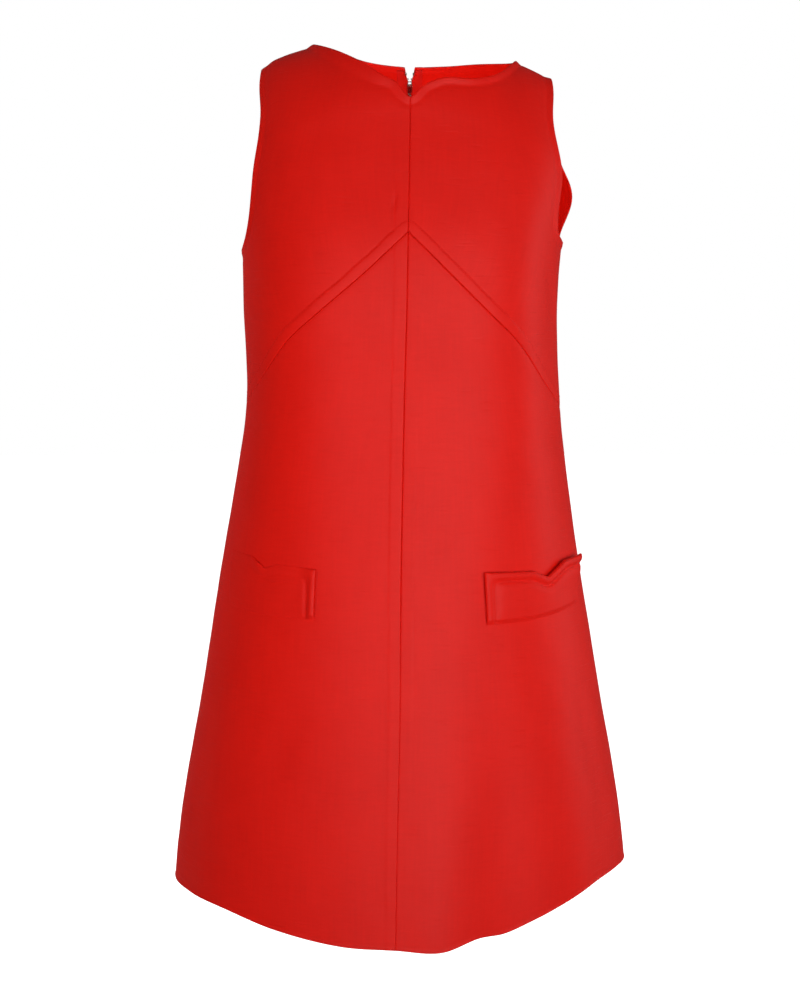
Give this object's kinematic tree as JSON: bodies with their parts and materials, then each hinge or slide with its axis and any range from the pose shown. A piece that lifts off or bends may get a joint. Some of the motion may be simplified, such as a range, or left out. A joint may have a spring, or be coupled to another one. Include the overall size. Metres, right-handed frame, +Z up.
{
  "type": "a-line dress",
  "caption": "Sleeveless flared mini dress, filled out as worn, with slanting front seams, pocket welts and a back zip whose pull tab turns.",
  "frame": {"origin": "between the shoulders, at the height of the left neck point, where the wearer's shoulders hold the dress", "axes": "+Z up, the front faces -Y, +X is the picture's right"},
  "size_m": [0.4568, 0.3325, 0.8534],
  "materials": {
    "crepe": "matte scarlet wool crepe",
    "zip_tape": "red woven tape",
    "zip_metal": "pale polished metal"
  },
  "bodies": {
    "dress": {"front_bodice_left": "crepe", "front_bodice_right": "crepe", "front_skirt_left": "crepe", "front_skirt_right": "crepe", "back_upper_left": "crepe", "back_middle_left": "crepe", "back_lower_left": "crepe", "back_upper_right": "crepe", "back_middle_right": "crepe", "back_lower_right": "crepe", "pocket_welt_left": "crepe", "pocket_welt_right": "crepe", "zip_tape_left": "zip_tape", "zip_tape_right": "zip_tape", "zip_chain": "zip_metal", "zip_slider": "zip_metal"},
    "zip_pull": {"zip_pull": "zip_metal"}
  },
  "joints": [
    {"name": "zip_pull_hinge", "type": "hinge", "parent": "dress", "child": "zip_pull", "pos_m": [0.00988, 0.07482, -0.02838], "axis": [1, 0, 0], "range_deg": [0, 165]}
  ]
}
